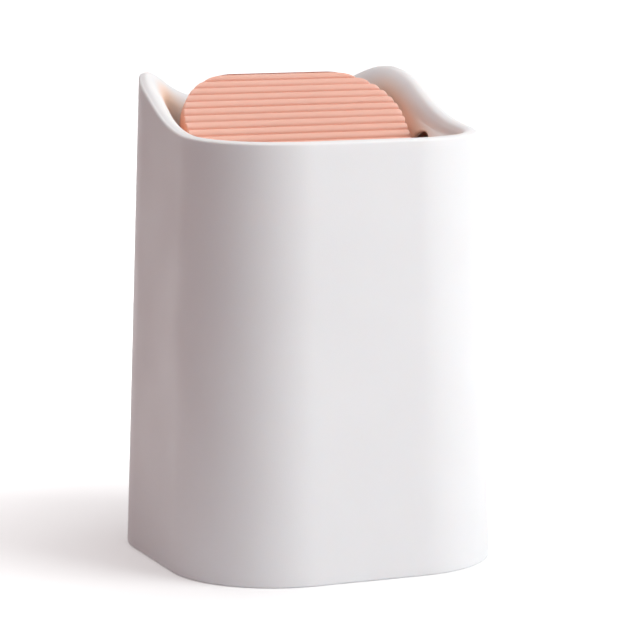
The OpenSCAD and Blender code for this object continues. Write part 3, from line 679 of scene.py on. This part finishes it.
# Stage: a pale floor, soft light from the front right, a weak one from above and a dim rosy surround.
# The floor turns white away from the bin for the camera alone, and keeps the bin's shadow near it.
floor_mesh = bpy.data.meshes.new("floor")
floor_mesh.from_pydata([(-8, -8, 0), (8, -8, 0), (8, 8, 0), (-8, 8, 0)], [], [(0, 1, 2, 3)])
floor = bpy.data.objects.new("floor", floor_mesh)
bpy.context.scene.collection.objects.link(floor)


def seen_rays(nodes, links):
    """1 for a ray that the camera, a glossy surface or a clear one sends, 0 for one that only carries
    light."""
    path = nodes.new("ShaderNodeLightPath")
    either, seen = nodes.new("ShaderNodeMath"), nodes.new("ShaderNodeMath")
    either.operation = seen.operation = "MAXIMUM"
    links.new(path.outputs["Is Camera Ray"], either.inputs[0])
    links.new(path.outputs["Is Glossy Ray"], either.inputs[1])
    links.new(either.outputs["Value"], seen.inputs[0])
    links.new(path.outputs["Is Transmission Ray"], seen.inputs[1])
    return seen.outputs["Value"]


pale_floor, nodes, links, shader, place = node_tree("pale_floor")
floor_mesh.materials.append(pale_floor)
shader.inputs["Roughness"].default_value = 0.9
shader.inputs["Specular IOR Level"].default_value = 0.0
seen = seen_rays(nodes, links)
across, side = nodes.new("ShaderNodeVectorMath"), nodes.new("ShaderNodeMapRange")
across.operation = "DOT_PRODUCT"
across.inputs[1].default_value = (1, -1, 0)
side.interpolation_type = "SMOOTHSTEP"
side.inputs["From Min"].default_value = -0.24
side.inputs["From Max"].default_value = 0
links.new(place.outputs["Object"], across.inputs[0])
links.new(across.outputs["Value"], side.inputs["Value"])
carried, shade = nodes.new("ShaderNodeMix"), nodes.new("ShaderNodeMix")
carried.data_type = shade.data_type = "RGBA"
carried.inputs["A"].default_value = (0.44, 0.27, 0.26, 1)
carried.inputs["B"].default_value = (0.92, 0.92, 0.95, 1)
shade.inputs["B"].default_value = (0.94, 0.94, 0.94, 1)
links.new(side.outputs["Result"], carried.inputs["Factor"])
links.new(carried.outputs["Result"], shade.inputs["A"])
links.new(seen, shade.inputs["Factor"])
links.new(shade.outputs["Result"], shader.inputs["Base Color"])
away = nodes.new("ShaderNodeVectorMath")
away.operation = "LENGTH"
links.new(place.outputs["Object"], away.inputs[0])
whiter = nodes.new("ShaderNodeMapRange")
whiter.interpolation_type = "SMOOTHSTEP"
whiter.inputs["From Min"].default_value = 0.06
whiter.inputs["From Max"].default_value = 0.36
whiter.inputs["To Min"].default_value = 0.16
whiter.inputs["To Max"].default_value = 0.9
links.new(away.outputs["Value"], whiter.inputs["Value"])
glow = nodes.new("ShaderNodeMath")
glow.operation = "MULTIPLY"
links.new(seen, glow.inputs[0])
links.new(whiter.outputs["Result"], glow.inputs[1])
shader.inputs["Emission Color"].default_value = (1, 1, 1, 1)
links.new(glow.outputs["Value"], shader.inputs["Emission Strength"])

world = bpy.data.worlds.new("studio")
bpy.context.scene.world = world
world.use_nodes = True
nodes, links = world.node_tree.nodes, world.node_tree.links
backdrop = next(n for n in nodes if n.type == "BACKGROUND")
place = nodes.new("ShaderNodeTexCoord")
split = nodes.new("ShaderNodeSeparateXYZ")
links.new(place.outputs["Generated"], split.inputs["Vector"])
side = nodes.new("ShaderNodeMapRange")
side.inputs["From Min"].default_value = -0.8
side.inputs["From Max"].default_value = 0.6
links.new(split.outputs["X"], side.inputs["Value"])
surround = nodes.new("ShaderNodeMix")
surround.data_type = "RGBA"
surround.inputs["A"].default_value = (0.17, 0.1, 0.1, 1)
surround.inputs["B"].default_value = (0.4, 0.4, 0.41, 1)
links.new(side.outputs["Result"], surround.inputs["Factor"])
white = nodes.new("ShaderNodeMix")
white.data_type = "RGBA"
white.inputs["B"].default_value = (1, 1, 1, 1)
links.new(surround.outputs["Result"], white.inputs["A"])
links.new(seen_rays(nodes, links), white.inputs["Factor"])
links.new(white.outputs["Result"], backdrop.inputs["Color"])

for name, place, size, power, colour in (("key", (1.02, -1.08, 0.95), 1.0, 17.8, (0.97, 1, 1)),
                                         ("top", (-0.1, 0.1, 1.7), 0.9, 10.2, (1, 0.99, 0.985))):
    lamp = bpy.data.lights.new(name, "AREA")
    lamp.size, lamp.energy, lamp.color = size, power, colour
    light = bpy.data.objects.new(name, lamp)
    light.location = place
    light.rotation_mode = "QUATERNION"
    light.rotation_quaternion = (-(light.location - Vector((0, 0, 0.1)))).to_track_quat("-Z", "Y")
    bpy.context.scene.collection.objects.link(light)

camera = bpy.data.objects.new("camera", bpy.data.cameras.new("camera"))
camera.data.lens, camera.data.sensor_width = 165.66, 36
camera.location = (-0.4658, -1.1437, 0.2845)
camera.rotation_mode = "QUATERNION"
camera.rotation_quaternion = Vector((0.37733, 0.91396, -0.14942)).to_track_quat("-Z", "Y")
camera.data.clip_start, camera.data.clip_end = 0.05, 50
bpy.context.scene.collection.objects.link(camera)
bpy.context.scene.camera = camera
bpy.context.scene.view_settings.view_transform = "Standard"
